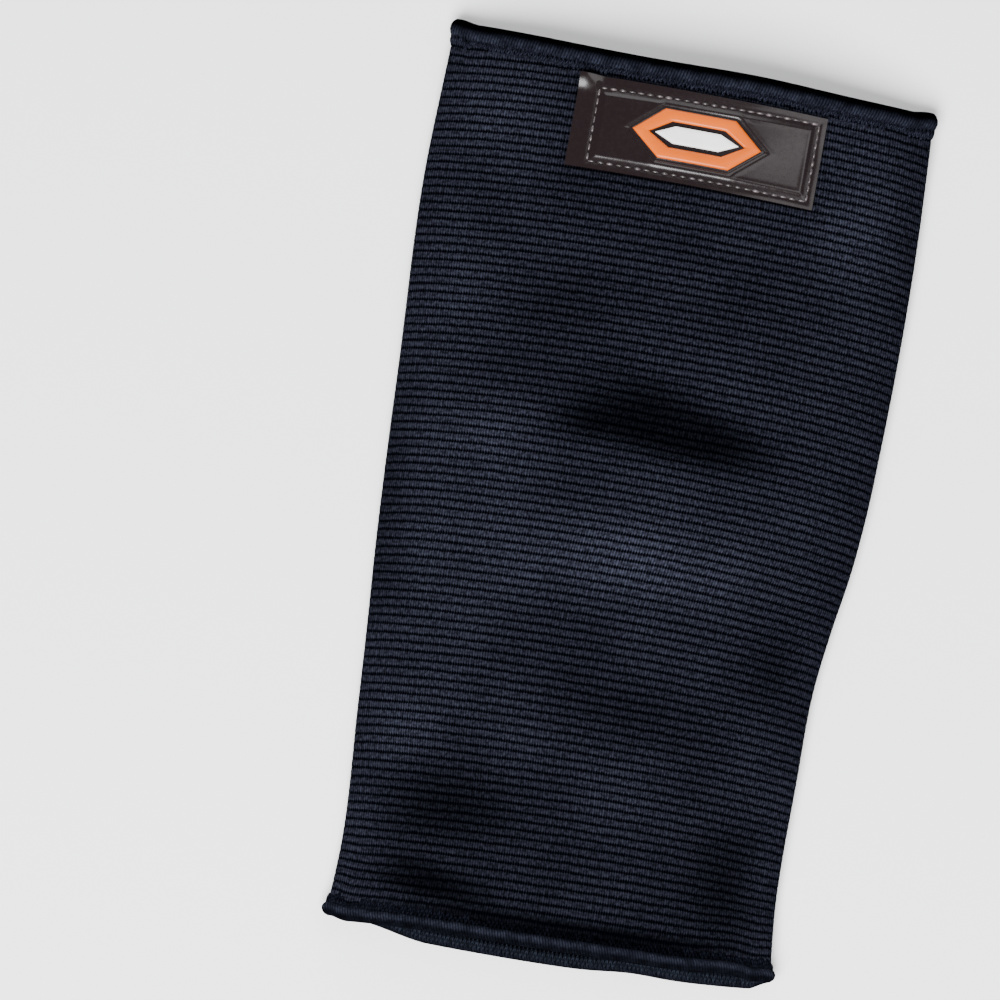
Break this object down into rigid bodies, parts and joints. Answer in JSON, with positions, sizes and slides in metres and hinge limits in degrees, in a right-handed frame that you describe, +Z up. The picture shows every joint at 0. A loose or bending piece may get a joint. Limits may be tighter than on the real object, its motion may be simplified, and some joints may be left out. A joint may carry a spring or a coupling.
{
  "type": "elbow pad",
  "caption": "Ribbed elastic elbow sleeve with bound openings, a moulded badge by the upper opening and a foam pad lined inside the back of the elbow.",
  "frame": {"origin": "centre of the sleeve's bounding box, on the surface that its back lies on", "axes": "+Y along the sleeve towards the upper-arm opening, +X across it, +Z up from the back (elbow side) to the badge side"},
  "size_m": [0.1266, 0.23, 0.0235],
  "materials": {
    "knit": "ribbed elastic knit, matt",
    "binding": "overlock thread, satin",
    "thread": "polyester thread",
    "foam": "closed-cell foam, matt",
    "lining": "brushed tricot",
    "vinyl": "glossy moulded vinyl",
    "clear_thread": "clear nylon thread",
    "orange_vinyl": "raised gloss vinyl",
    "white_vinyl": "raised gloss vinyl"
  },
  "bodies": {
    "elbow": {"elbow_sleeve": "knit", "foam_pad": "foam", "pad_lining": "lining", "pad_lining_stitching": "thread"},
    "upper_arm": {"upper_arm_sleeve": "knit", "upper_hem_binding": "binding", "upper_hem_stitching": "thread", "badge_plate": "vinyl", "badge_stitching": "clear_thread", "emblem_frame": "orange_vinyl", "emblem_core": "white_vinyl"},
    "forearm": {"forearm_sleeve": "knit", "lower_hem_binding": "binding", "lower_hem_stitching": "thread"}
  },
  "joints": [
    {"name": "forearm_bend", "type": "hinge", "parent": "elbow", "child": "forearm", "pos_m": [0, -0.027, 0.0218], "axis": [-1, 0, 0], "range_deg": [0, 65], "stiffness_Nm_per_rad": 0.02},
    {"name": "upper_arm_bend", "type": "hinge", "parent": "elbow", "child": "upper_arm", "pos_m": [0, 0.063, 0.0208], "axis": [1, 0, 0], "range_deg": [0, 65], "stiffness_Nm_per_rad": 0.02}
  ],
  "couplings": [
    {"joint": "upper_arm_bend", "follows": "forearm_bend", "ratio": 1}
  ]
}
